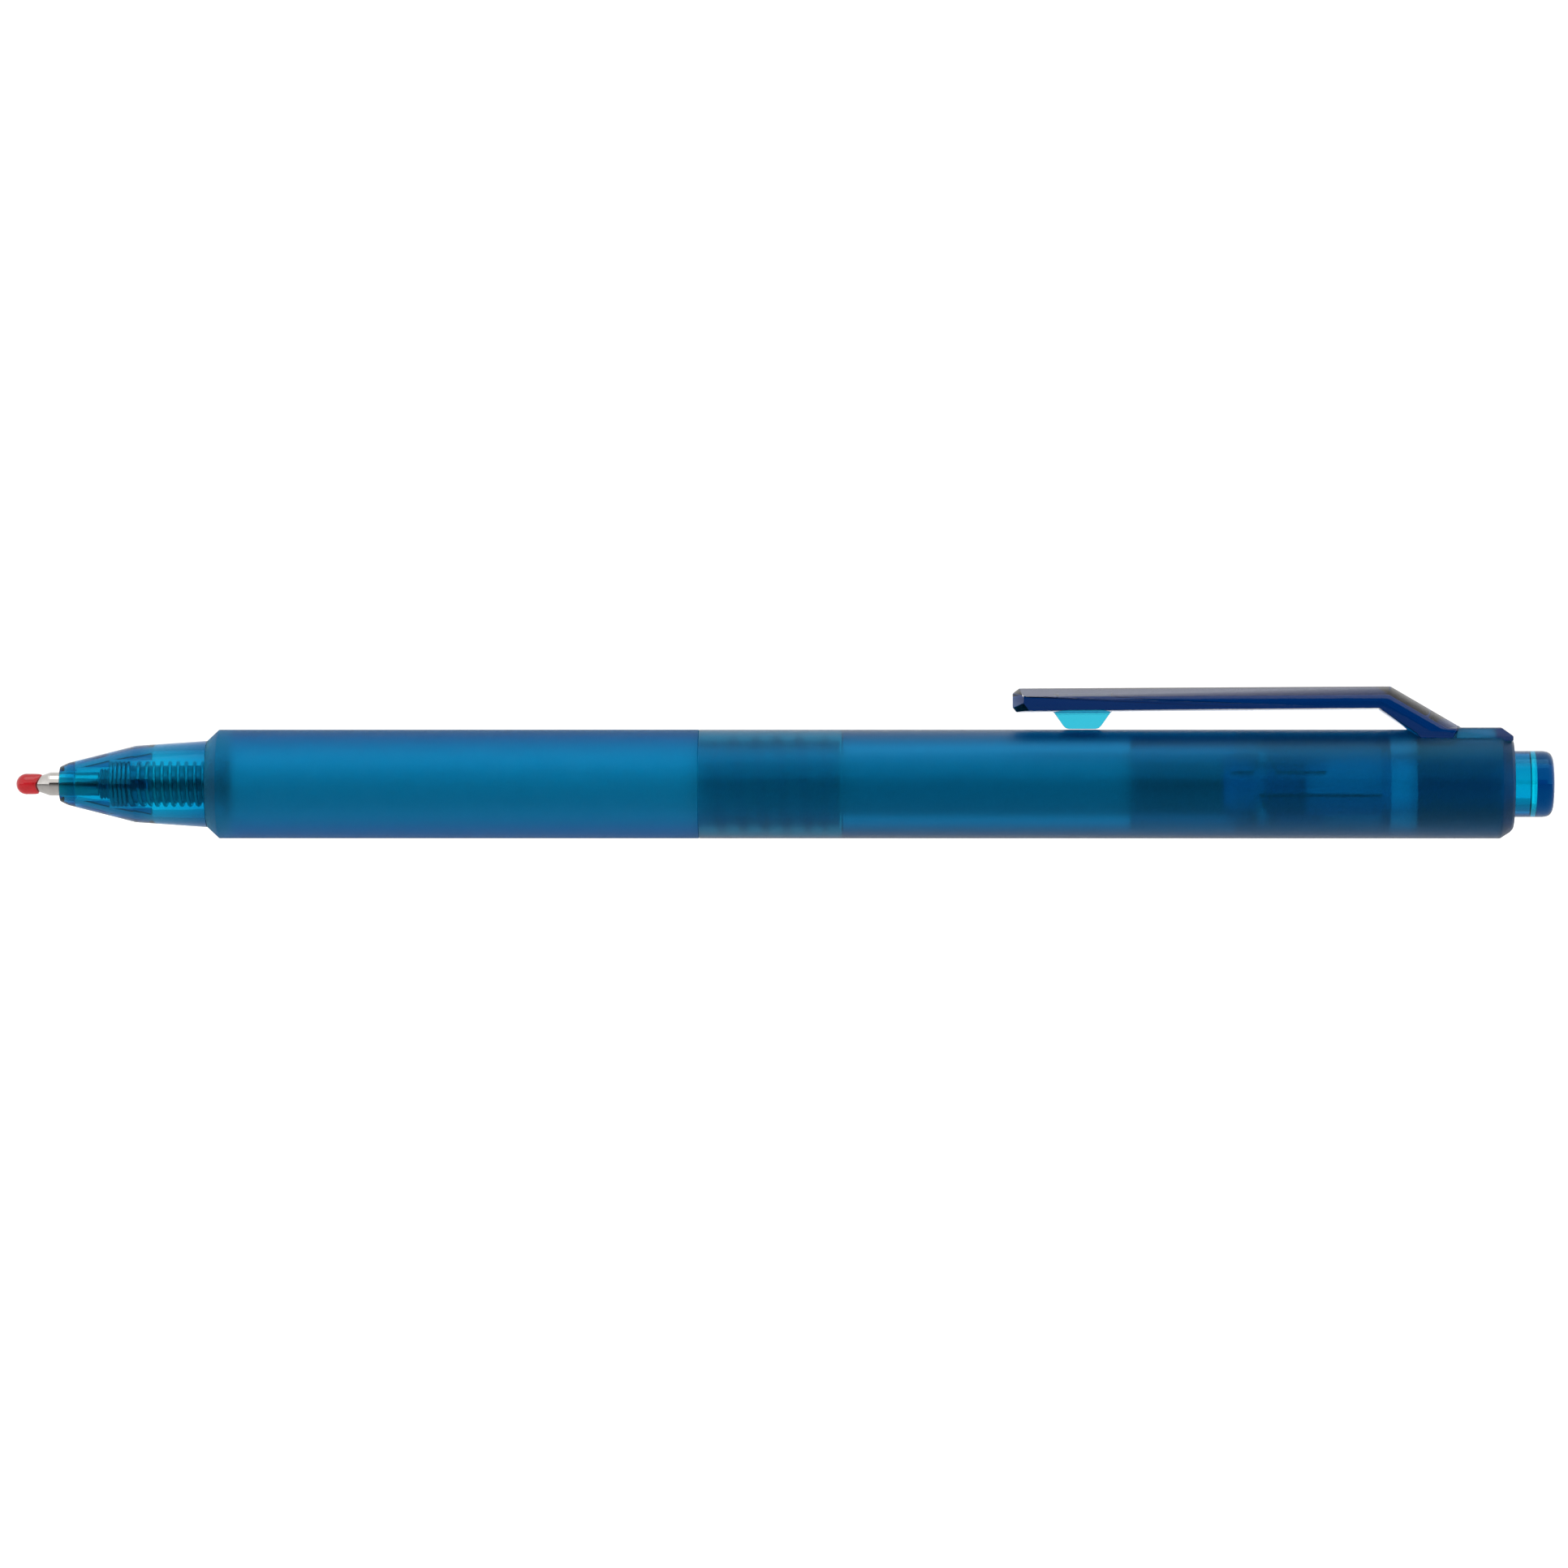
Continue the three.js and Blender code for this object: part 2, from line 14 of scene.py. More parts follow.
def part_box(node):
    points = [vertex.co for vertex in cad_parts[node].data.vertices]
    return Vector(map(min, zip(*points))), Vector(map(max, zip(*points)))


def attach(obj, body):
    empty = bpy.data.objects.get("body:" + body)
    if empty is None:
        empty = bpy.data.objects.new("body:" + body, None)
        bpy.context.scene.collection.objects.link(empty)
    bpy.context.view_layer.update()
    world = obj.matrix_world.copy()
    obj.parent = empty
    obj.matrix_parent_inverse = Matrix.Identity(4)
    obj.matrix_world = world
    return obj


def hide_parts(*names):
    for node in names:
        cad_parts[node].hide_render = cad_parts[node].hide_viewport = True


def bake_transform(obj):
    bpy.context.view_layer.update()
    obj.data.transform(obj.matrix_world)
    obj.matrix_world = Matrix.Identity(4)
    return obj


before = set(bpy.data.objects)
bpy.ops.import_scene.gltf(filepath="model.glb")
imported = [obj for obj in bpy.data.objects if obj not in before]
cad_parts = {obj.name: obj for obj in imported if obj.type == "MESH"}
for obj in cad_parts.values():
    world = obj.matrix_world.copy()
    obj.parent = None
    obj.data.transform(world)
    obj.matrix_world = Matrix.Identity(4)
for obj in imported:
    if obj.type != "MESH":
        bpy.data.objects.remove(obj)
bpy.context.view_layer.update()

MM = 0.001
ROUND = 96  # segments round a turned piece
SMOOTH_ANGLE = 32  # degrees: edges sharper than this stay crisp


def stations(node):
    """A node's first and last station along the pen, in millimetres."""
    low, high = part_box(node)
    return low[0] / MM, high[0] / MM


def height_above_axis(node):
    """A node's lowest and highest height above the pen's axis, in millimetres."""
    low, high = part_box(node)
    return (low[2] - AXIS_HEIGHT) / MM, (high[2] - AXIS_HEIGHT) / MM


BARREL_LOW, BARREL_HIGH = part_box("front_barrel")
AXIS_HEIGHT = (BARREL_LOW[2] + BARREL_HIGH[2]) / 2
BARREL_RADIUS = 5.0

SEAL_FRONT, SEAL_REAR = stations("tip_seal")
CONE_FRONT, CONE_REAR = stations("tip_cone")
HOLDER_FRONT, HOLDER_REAR = stations("tip_holder")
NOSE_FRONT, NOSE_REAR = stations("nose_cone")
GRIP_FRONT, SPIGOT_REAR = stations("front_barrel")
SEAM, REAR_FACE = stations("rear_barrel")
BUSH_FRONT, BUSH_REAR = stations("end_bush")
SLEEVE_FRONT, SLEEVE_REAR = stations("guide_sleeve")
BUTTON_FRONT, BUTTON_REAR = stations("push_button")
CAM_FRONT, CAM_REAR = stations("rotary_cam")
TUBE_FRONT, TUBE_REAR = stations("refill_tube")
INK_FRONT, INK_REAR = stations("ink_column")
FOLLOWER_FRONT, FOLLOWER_REAR = stations("ink_follower")
SPRING_FRONT, SPRING_REAR = stations("return_spring")
ARM_FRONT = stations("clip_arm")[0]
ARM_TOP = height_above_axis("clip_arm")[1]
ROOT_REAR = stations("clip_root")[1]
ROOT_FLOOR = height_above_axis("clip_root")[0]

CONE_RADIUS = 1.09
CONE_TAPER = (-69.75, 0.3, -67.5)  # start, radius there, and end of the point's taper
NECK_REAR = -51.5  # where the holder's narrow bore opens out
SPRING_SEAT = -61.95
THREAD_PITCH = 2.0
CLIP_SLOT_HALF_WIDTH = 2.7


# ---------------------------------------------------------------- mesh tools


def new_piece(name, vertices, faces, smooth_angle=SMOOTH_ANGLE):
    """A closed mesh object in metres, with its faces turned outwards and smooth shading."""
    mesh = bpy.data.meshes.new(name)
    mesh.from_pydata(vertices, [], faces)
    mesh.validate()
    piece = bpy.data.objects.new(name, mesh)
    bpy.context.collection.objects.link(piece)
    finish_mesh(piece, smooth_angle)
    return piece


def finish_mesh(piece, smooth_angle=SMOOTH_ANGLE):
    """Welds doubles, turns faces outwards and marks edges sharper than the angle."""
    edit = bmesh.new()
    edit.from_mesh(piece.data)
    bmesh.ops.remove_doubles(edit, verts=edit.verts, dist=1e-7)
    bmesh.ops.recalc_face_normals(edit, faces=edit.faces)
    edit.to_mesh(piece.data)
    edit.free()
    piece.data.shade_smooth()
    piece.data.set_sharp_from_angle(angle=math.radians(smooth_angle))


def rounded(outline, steps=5):
    """An outline of (x, r) or (x, r, fillet) corners with each fillet drawn as a short curve."""
    points = []
    for i, corner in enumerate(outline):
        if len(corner) == 2:
            points.append(corner)
            continue
        here = Vector(corner[:2])
        before = Vector(outline[i - 1][:2])
        after = Vector(outline[(i + 1) % len(outline)][:2])
        back, on = (before - here).normalized(), (after - here).normalized()
        turn = math.pi - back.angle(on)
        reach = corner[2] * math.tan(turn / 2)
        reach = min(reach, (before - here).length * 0.49, (after - here).length * 0.49)
        start, end = here + back * reach, here + on * reach
        for step in range(steps + 1):
            t = step / steps
            point = start * (1 - t) ** 2 + here * 2 * t * (1 - t) + end * t**2
            points.append((point.x, point.y))
    return points


def turned(name, outline, shape=None, segments=ROUND):
    """A closed solid turned about the pen's axis.

    The outline is a closed list of (x, r[, fillet]) in millimetres, and shape(x, r, angle) may
    move a point. The angle is 0 at the top and 90 degrees on the side towards -Y.
    """
    rows, vertices, faces = [], [], []
    for x, r in rounded(outline):
        row = []
        for k in range(segments if r > 1e-6 else 1):
            angle = 2 * math.pi * k / segments
            at_x, at_r = shape(x, r, angle) if shape else (x, r)
            row.append(len(vertices))
            across = -at_r * math.sin(angle) * MM
            vertices.append((at_x * MM, across, AXIS_HEIGHT + at_r * math.cos(angle) * MM))
        rows.append(row)
    for a, b in zip(rows, rows[1:] + rows[:1]):
        if len(a) == len(b) == 1:
            continue
        for k in range(segments):
            ring = [a[k % len(a)], a[(k + 1) % len(a)], b[(k + 1) % len(b)], b[k % len(b)]]
            faces.append(tuple(dict.fromkeys(ring)))
    return new_piece(name, vertices, faces)


def offset_outline(outline, distances):
    """The outline with each edge moved inwards by its own distance."""
    count = len(outline)
    following = outline[1:] + outline[:1]
    area = sum(a[0] * b[1] - b[0] * a[1] for a, b in zip(outline, following))
    inward = 1 if area > 0 else -1
    lines = []
    for i, distance in enumerate(distances):
        a, b = Vector(outline[i]), Vector(outline[(i + 1) % count])
        along = (b - a).normalized()
        normal = Vector((-along.y, along.x)) * inward
        lines.append((a + normal * distance, along))
    moved = []
    for i in range(count):
        (p, d), (q, e) = lines[i - 1], lines[i]
        cross = d.x * e.y - d.y * e.x
        t = ((q.x - p.x) * e.y - (q.y - p.y) * e.x) / cross
        moved.append(tuple(p + d * t))
    return moved


def across(name, outline, half_width, chamfer=0.0, insets=None):
    """A side outline of (x, z above the axis) given width across the pen, with chamfered sides."""
    layers = [(-half_width, outline), (half_width, outline)]
    if chamfer:
        inner = offset_outline(outline, insets)
        layers = [
            (-half_width, inner),
            (chamfer - half_width, outline),
            (half_width - chamfer, outline),
            (half_width, inner),
        ]
    count = len(outline)
    vertices = [
        (x * MM, y * MM, AXIS_HEIGHT + z * MM) for y, layer in layers for x, z in layer
    ]
    faces = [tuple(range(count)), tuple(range(len(vertices) - count, len(vertices)))]
    for level in range(len(layers) - 1):
        for i in range(count):
            j = (i + 1) % count
            low, high = level * count, (level + 1) * count
            faces.append((low + i, low + j, high + j, high + i))
    return new_piece(name, vertices, faces)


def spoke(name, x_from, x_to, inner, outer, width, degrees, front_slant=0.0, rear_slant=0.0):
    """A bar standing out from the axis at an angle, whose ends may slant."""
    half = width / 2
    ends = [(x_from, half), (x_to, half), (x_to - rear_slant, -half), (x_from + front_slant, -half)]
    turn = Matrix.Rotation(math.radians(degrees), 3, "X")
    vertices = []
    for r in (inner, outer):
        for x, side in ends:
            point = turn @ Vector((x, side, r))
            vertices.append((point.x * MM, point.y * MM, AXIS_HEIGHT + point.z * MM))
    faces = [(0, 1, 2, 3), (4, 5, 6, 7)]
    faces += [(i, (i + 1) % 4, (i + 1) % 4 + 4, i + 4) for i in range(4)]
    return new_piece(name, vertices, faces)


def apply_modifiers(piece, smooth_angle=SMOOTH_ANGLE):
    """Turns a piece's modifiers into plain mesh data."""
    bpy.context.view_layer.update()
    solved = piece.evaluated_get(bpy.context.evaluated_depsgraph_get())
    mesh = bpy.data.meshes.new_from_object(solved)
    piece.modifiers.clear()
    piece.data = mesh
    finish_mesh(piece, smooth_angle)


def combine(piece, tool, operation):
    """Cuts the tool from the piece (DIFFERENCE) or joins it on (UNION)."""
    modifier = piece.modifiers.new("combine", "BOOLEAN")
    modifier.operation, modifier.solver, modifier.object = operation, "EXACT", tool
    apply_modifiers(piece)
    bpy.data.objects.remove(tool)


def soften(piece, width):
    """Rounds a piece's hard edges by a bevel of this width in millimetres."""
    bevel = piece.modifiers.new("soften", "BEVEL")
    bevel.width, bevel.segments = width * MM, 2
    bevel.limit_method, bevel.angle_limit = "ANGLE", math.radians(30)
    bevel.use_clamp_overlap = True
    apply_modifiers(piece, 40)


def install(piece, body, material, slot, *nodes):
    """Gives a piece its material, body (None leaves it unattached) and CAD nodes. The slot argument
    is not used.
    """
    piece.data.materials.clear()
    piece.data.materials.append(material)
    if body:
        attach(piece, body)
    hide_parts(*nodes)


# ---------------------------------------------------------------- materials


class Shader:
    """A Principled material whose bump, roughness and colour come from procedural nodes."""

    def __init__(self, name, **sockets):
        self.material = bpy.data.materials.new(name)
        self.material.use_nodes = True
        self.nodes = self.material.node_tree.nodes
        self.links = self.material.node_tree.links
        self.surface = self.nodes["Principled BSDF"]
        for socket, value in sockets.items():
            self.surface.inputs[socket.replace("_", " ")].default_value = value

    def add(self, kind, **values):
        node = self.nodes.new(kind)
        for key, value in values.items():
            if key in node.inputs:
                node.inputs[key].default_value = value
            else:
                setattr(node, key, value)
        return node

    def noise(self, scale, detail=3.0, stretch=(1, 1, 1)):
        """Noise in the piece's own space; scale is in grains per metre."""
        place = self.add("ShaderNodeTexCoord")
        scaled = self.add("ShaderNodeMapping")
        scaled.inputs["Scale"].default_value = stretch
        grain = self.add("ShaderNodeTexNoise", Scale=scale, Detail=detail, Roughness=0.6)
        self.links.new(place.outputs["Object"], scaled.inputs["Vector"])
        self.links.new(scaled.outputs["Vector"], grain.inputs["Vector"])
        return grain.outputs["Fac"]

    def spread(self, value, low, high):
        """The value, from 0 to 1, spread between low and high."""
        spread = self.add("ShaderNodeMapRange")
        spread.inputs["To Min"].default_value = low
        spread.inputs["To Max"].default_value = high
        self.links.new(value, spread.inputs["Value"])
        return spread.outputs["Result"]

    def rough(self, value, low, high):
        self.links.new(self.spread(value, low, high), self.surface.inputs["Roughness"])
        return self

    def calculate(self, operation, first, second):
        """One arithmetic step on two values, each a socket or a number."""
        step = self.add("ShaderNodeMath", operation=operation)
        for socket, value in zip(step.inputs, (first, second)):
            if isinstance(value, (int, float)):
                socket.default_value = value
            else:
                self.links.new(value, socket)
        return step.outputs["Value"]

    def outer_skin(self, radius, front=None, rear=None):
        """1 outside this radius, and everywhere before `front` or behind `rear`; else 0."""
        place = self.add("ShaderNodeTexCoord").outputs["Object"]
        split = self.add("ShaderNodeSeparateXYZ")
        self.links.new(place, split.inputs["Vector"])
        height = self.calculate("SUBTRACT", split.outputs["Z"], AXIS_HEIGHT)
        squares = [self.calculate("MULTIPLY", side, side) for side in (split.outputs["Y"], height)]
        distance = self.calculate("SQRT", self.calculate("ADD", *squares), 0.0)
        skin = self.calculate("GREATER_THAN", distance, radius * MM)
        if front is not None:
            before = self.calculate("LESS_THAN", split.outputs["X"], front * MM)
            skin = self.calculate("MAXIMUM", skin, before)
        if rear is not None:
            behind = self.calculate("GREATER_THAN", split.outputs["X"], rear * MM)
            skin = self.calculate("MAXIMUM", skin, behind)
        return skin

    def frost(self, skin, low, high, polished, grain):
        """Rough and grained where the skin is 1, and polished where it is 0."""
        rough = self.spread(self.noise(700, 3), low, high)
        over = self.calculate("MULTIPLY", self.calculate("SUBTRACT", rough, polished), skin)
        self.links.new(self.calculate("ADD", over, polished), self.surface.inputs["Roughness"])
        return self.bump(self.calculate("MULTIPLY", self.noise(6000, 4), skin), grain)

    def bump(self, value, distance):
        """Bump of this distance in millimetres. Repeated calls lie on each other."""
        bump = self.add("ShaderNodeBump", Strength=1.0, Distance=distance * MM)
        self.links.new(value, bump.inputs["Height"])
        normal = self.surface.inputs["Normal"]
        if normal.links:
            self.links.new(normal.links[0].from_socket, bump.inputs["Normal"])
        self.links.new(bump.outputs["Normal"], normal)
        return self

    def tone(self, value, dark, light):
        """Colour that varies a little between two tones."""
        ramp = self.add("ShaderNodeValToRGB")
        for stop, position, colour in zip(ramp.color_ramp.elements, (0.3, 0.7), (dark, light)):
            stop.position, stop.color = position, (*colour, 1)
        self.links.new(value, ramp.inputs["Fac"])
        self.links.new(ramp.outputs["Color"], self.surface.inputs["Base Color"])
        return self

    def absorb(self, through, thickness):
        """Absorption that leaves the colour `through` after this thickness in millimetres."""
        sigma = [-math.log(max(channel, 1e-4)) / (thickness * MM) for channel in through]
        density = max(sigma)
        medium = self.add("ShaderNodeVolumeAbsorption", Density=density)
        medium.inputs["Color"].default_value = (*[1 - s / density for s in sigma], 1)
        output = self.nodes["Material Output"]
        self.links.new(medium.outputs["Volume"], output.inputs["Volume"])
        return self


def clear_plastic(name, through, thickness, roughness, tint=(1, 1, 1)):
    """See-through plastic, polished or frosted, coloured in its depth."""
    shader = Shader(
        name, Transmission_Weight=1.0, Roughness=roughness, IOR=1.5, Base_Color=(1, 1, 1, 1)
    )
    shader.surface.inputs["Specular Tint"].default_value = (*tint, 1)
    return shader.absorb(through, thickness)


BLUE_SHEEN = (0.03, 0.62, 1.0)


def nose_plastic():
    through = (0.006, 0.45, 0.66)
    shader = clear_plastic("clear_blue_plastic", through, 0.9, 0.02, tint=BLUE_SHEEN)
    flow = shader.noise(500, 2, (0.3, 1, 1))
    return shader.rough(flow, 0.01, 0.04).bump(flow, 0.004).material


def frosted_plastic(name, through, low, high, grain, skin, front=None, rear=None):
    """Plastic sand-blasted outside the radius `skin` and polished in the bore within it."""
    shader = clear_plastic(name, through, 0.9, high, tint=BLUE_SHEEN)
    return shader.frost(shader.outer_skin(skin, front, rear), low, high, 0.03, grain).material


def button_plastic():
    through = (0.006, 0.56, 0.73)
    shader = clear_plastic("clear_button_plastic", through, 1.0, 0.02, tint=BLUE_SHEEN)
    return shader.bump(shader.noise(400, 2), 0.004).material


def clip_plastic():
    """Deep blue plastic, glossy on the arm and frosted on the root behind it."""
    shader = clear_plastic("deep_clip_plastic", (0.02, 0.47, 0.65), 1.0, 0.05)
    shader.bump(shader.noise(300, 2, (0.2, 1, 1)), 0.003)
    beyond_the_clip = 20.0
    skin = shader.outer_skin(beyond_the_clip, rear=61.8)
    return shader.frost(skin, 0.3, 0.4, 0.05, 0.01).material


def inner_plastic(name, through, roughness):
    shader = clear_plastic(name, through, 0.9, roughness, tint=(0.6, 0.85, 1.0))
    return shader.bump(shader.noise(1500, 2), 0.003).material


def turned_steel():
    """Satin steel with fine lathe rings and a slight change of tone."""
    shader = Shader("turned_steel", Metallic=1.0, Roughness=0.16)
    rings = shader.noise(9000, 2, (1, 0.02, 0.02))
    shader.tone(shader.noise(1200, 3), (0.6, 0.575, 0.545), (0.7, 0.675, 0.645))
    return shader.rough(rings, 0.12, 0.2).bump(rings, 0.0015).material


def spring_steel():
    shader = Shader("spring_steel", Metallic=1.0, Roughness=0.22)
    drawn = shader.noise(4000, 3)
    shader.tone(drawn, (0.5, 0.51, 0.52), (0.66, 0.67, 0.68))
    return shader.rough(drawn, 0.18, 0.3).material


def ball_metal():
    shader = Shader("ball_metal", Metallic=1.0, Roughness=0.1)
    pits = shader.noise(20000, 2)
    return shader.tone(pits, (0.5, 0.5, 0.52), (0.62, 0.62, 0.64)).bump(pits, 0.001).material


def seal_resin():
    """A glossy bead of red resin, cloudy in its depth."""
    shader = Shader("seal_resin", Roughness=0.16, IOR=1.48, Coat_Weight=0.15)
    shader.surface.inputs["Coat Roughness"].default_value = 0.08
    cloud = shader.noise(1400, 4)
    shader.tone(cloud, (0.36, 0.003, 0.007), (0.48, 0.006, 0.013))
    return shader.rough(cloud, 0.12, 0.24).bump(cloud, 0.01).material


def wet_liquid(name, dark, light):
    """Opaque ink or grease, wet and slightly uneven."""
    low, high = 0.05, 0.12
    shader = Shader(name, Roughness=high)
    clouds = shader.noise(2500, 4)
    return shader.tone(clouds, dark, light).rough(clouds, low, high).bump(clouds, 0.004).material


def holder_plastic():
    """Milky see-through plastic, in which the thread of ink shows dark."""
    shader = clear_plastic("holder_plastic", (0.7, 0.86, 0.92), 3.0, 0.08, tint=(0.8, 0.9, 1.0))
    shader.surface.inputs["Transmission Weight"].default_value = 0.55
    return shader.tone(shader.noise(900, 2), (0.74, 0.84, 0.9), (0.84, 0.92, 0.97)).material


def refill_plastic():
    """The milky tube of the refill."""
    shader = Shader("milky_refill_plastic", Roughness=0.35)
    mottle = shader.noise(900, 3, (0.3, 1, 1))
    shader.tone(mottle, (0.84, 0.92, 0.96), (0.9, 0.97, 1.0))
    return shader.rough(mottle, 0.28, 0.42).material


# ---------------------------------------------------------------- the refill


def cone_radius(x):
    """The radius of the point's taper at a station."""
    start, start_radius, end = CONE_TAPER
    return start_radius + (CONE_RADIUS - start_radius) * (x - start) / (end - start)


def dome(centre, radius, steps, last):
    """Points over a ball from front to rear, `steps` to the half turn, up to the last one."""
    turns = [step * math.pi / steps for step in range(1, last + 1)]
    return [(centre - radius * math.cos(turn), radius * math.sin(turn)) for turn in turns]


def make_seal():
    """A bead that sits lower on the side of the point than over its top."""
    radius = 0.96
    centre = SEAL_FRONT + radius
    gap = 0.02

    def edge(x, r, angle):
        share = max(0.0, (x - centre) / (SEAL_REAR - centre))
        lean = 0.135 * math.cos(angle) + 0.18 * math.cos(2 * angle)
        return x + share**2 * lean, r

    rear = SEAL_REAR
    outline = [(SEAL_FRONT, 0.0), *dome(centre, radius, 20, 10)]
    outline += [(rear - 0.35, 0.95), (rear - 0.12, 0.925), (rear, 0.86, 0.05)]
    outline += [(rear + 0.02, cone_radius(rear) + gap), (CONE_TAPER[0], CONE_TAPER[1] + gap)]
    outline += [(CONE_FRONT - 0.2, CONE_TAPER[1]), (CONE_FRONT - 0.2, 0.0)]
    return turned("tip_seal_bead", outline, edge, 64)


def make_ball():
    centre, radius = CONE_FRONT + 0.09, 0.25
    outline = [(centre - radius, 0.0), *dome(centre, radius, 12, 11), (centre + radius, 0.0)]
    return turned("writing_ball_sphere", outline, None, 32)


def make_cone():
    """The steel point: its taper, a fine turned ring, a shank, and the ink's channel."""
    start, start_radius, end = CONE_TAPER
    channel, socket, ball_seat = 0.12, 0.4, 0.265
    shoulder = HOLDER_FRONT - 0.1
    outline = [
        (CONE_FRONT, start_radius - 0.02),
        (start, start_radius),
        (end - 0.12, cone_radius(end - 0.12)),
        (end - 0.1, cone_radius(end - 0.1) - 0.015),
        (end - 0.06, cone_radius(end - 0.06)),
        (end, CONE_RADIUS, 0.3),
        (shoulder - 0.06, CONE_RADIUS),
        (shoulder, CONE_RADIUS - 0.05),
        (shoulder, 0.85),
        (CONE_REAR, 0.85),
        (CONE_REAR, socket),
        (-69.2, socket),
        (-69.2, channel),
        (-69.6, channel),
        (-69.6, ball_seat),
        (CONE_FRONT, ball_seat),
    ]
    return turned("tip_cone_steel", outline)


def make_holder():
    """The point's holder: a grooved collar, a long neck and a flange in the tube's end."""
    front, collar, neck = HOLDER_FRONT, 1.39, 1.72
    outline = [(front, collar, 0.08)]
    for groove in (front + 0.22, front + 0.5):
        outline += [(groove, collar, 0.02), (groove + 0.04, collar - 0.13)]
        outline += [(groove + 0.12, collar - 0.13), (groove + 0.16, collar, 0.02)]
    outline += [(-60.7, collar), (-60.62, neck, 0.05), (-51.25, neck, 0.1), (-51.25, 3.0, 0.1)]
    outline += [(TUBE_FRONT - 0.05, 3.0), (TUBE_FRONT - 0.05, 2.5), (HOLDER_REAR, 2.5)]
    outline += [(HOLDER_REAR, 0.74), (NECK_REAR + 0.2, 0.74), (NECK_REAR, 0.45), (-60.4, 0.45)]
    outline += [(-60.4, 0.9), (front, 0.9)]
    return turned("tip_holder_neck", outline)


def make_ink_thread():
    """The ink in the holder's bore, wetting its wall."""
    front, rear = -60.35, HOLDER_REAR + 0.05
    narrow, wide = 0.46, 0.75
    outline = [(front, 0.0), (front, narrow), (NECK_REAR, narrow), (NECK_REAR + 0.2, wide)]
    outline += [(rear, wide), (rear, 0.0)]
    return turned("gel_ink_thread", outline, None, 48)


def make_tube():
    front, rear = TUBE_FRONT, TUBE_REAR
    outline = [(front, 3.0, 0.08), (rear, 3.0, 0.1), (rear, 2.55, 0.1), (front, 2.55, 0.08)]
    return turned("refill_ink_tube", outline)


def make_liquid(name, front, rear, front_bulge, rear_bulge):
    """A column of liquid in the tube, with curved ends."""
    radius, steps = 2.5, 6
    turns = [step * math.pi / 2 / steps for step in range(steps + 1)]
    outline = []
    for at, bulge, order in ((front, front_bulge, 1), (rear, rear_bulge, -1)):
        end = [(at + bulge * math.cos(turn), radius * math.sin(turn)) for turn in turns]
        outline += end[::order]
    return turned(name, outline, None, 64)


def make_spring():
    """Closed coils on the nose's fins, then open coils back to the refill."""
    wire, mean, steps, sides = 0.18, 1.94, 40, 12
    closed_turns, closed_pitch, open_turns, last_turns = 4.0, 0.392, 12.0, 1.0
    front, rear = SPRING_FRONT + wire, SPRING_REAR - wire
    length = rear - front - (closed_turns + last_turns) * closed_pitch
    open_pitch = length / (open_turns - last_turns)
    turns = closed_turns + open_turns

    def station(turn):
        x = front + min(turn, closed_turns) * closed_pitch
        x += min(max(turn - closed_turns, 0), open_turns - last_turns) * open_pitch
        return x + max(turn - turns + last_turns, 0) * closed_pitch

    vertices, faces = [], []
    count = int(turns * steps)
    for i in range(count + 1):
        turn = i / steps
        angle = 2 * math.pi * turn
        for k in range(sides):
            round_wire = 2 * math.pi * k / sides
            r = mean + wire * math.cos(round_wire)
            x = station(turn) + wire * math.sin(round_wire)
            y, z = -r * math.sin(angle), r * math.cos(angle)
            vertices.append((x * MM, y * MM, AXIS_HEIGHT + z * MM))
    for i in range(count):
        for k in range(sides):
            a, b = i * sides + k, i * sides + (k + 1) % sides
            faces.append((a, b, b + sides, a + sides))
    faces.append(tuple(range(sides)))
    faces.append(tuple(range(count * sides, (count + 1) * sides)))
    return new_piece("return_spring_coil", vertices, faces, 60)


# ---------------------------------------------------------------- the barrel


def make_nose():
    """The nose, with four fins inside that carry the spring."""
    front, rear = NOSE_FRONT, NOSE_REAR - 0.8
    spigot_start = GRIP_FRONT - 0.03
    body = turned(
        "nose_cone_shell",
        [
            (front, 1.2, 0.05),
            (front, 1.62, 0.08),
            (front + 0.76, 1.97, 0.2),
            (-59.6, 3.54, 1.2),
            (spigot_start, 3.99, 0.06),
            (spigot_start, 3.6),
            (rear, 3.6, 0.1),
            (rear, 1.2),
        ],
    )
    cavity = turned(
        "nose_cavity",
        [
            (-65.1, 0.0),
            (-65.1, 1.45, 0.1),
            (SPRING_SEAT, 2.2),
            (-57.8, 3.05, 1.5),
            (-55.0, 3.13),
            (rear + 1, 3.13),
            (rear + 1, 0.0),
        ],
    )
    fin_parts = [(-66.0, SPRING_SEAT, 1.5), (SPRING_SEAT - 0.1, -58.3, 2.22)]
    for degrees in (0, 90, 180, 270):
        for fin_front, fin_rear, inner in fin_parts:
            fin = spoke("fin", fin_front, fin_rear, inner, 4.0, 0.9, degrees)
            combine(cavity, fin, "DIFFERENCE")
    combine(body, cavity, "DIFFERENCE")
    return body


def thread_height(x, angle, start, end, height):
    """The height of a thread's ridge at a station and angle, faded out at both ends."""
    foot, flank, fading = 0.42, 0.2, 0.6
    phase = ((x - start) / THREAD_PITCH - angle / (2 * math.pi)) % 1.0
    away = min(phase, 1 - phase) * THREAD_PITCH
    fade = min(1.0, max(0.0, (x - start) / fading)) * min(1.0, max(0.0, (end - x) / fading))
    return height * fade * min(1.0, max(0.0, (foot - away) / flank))


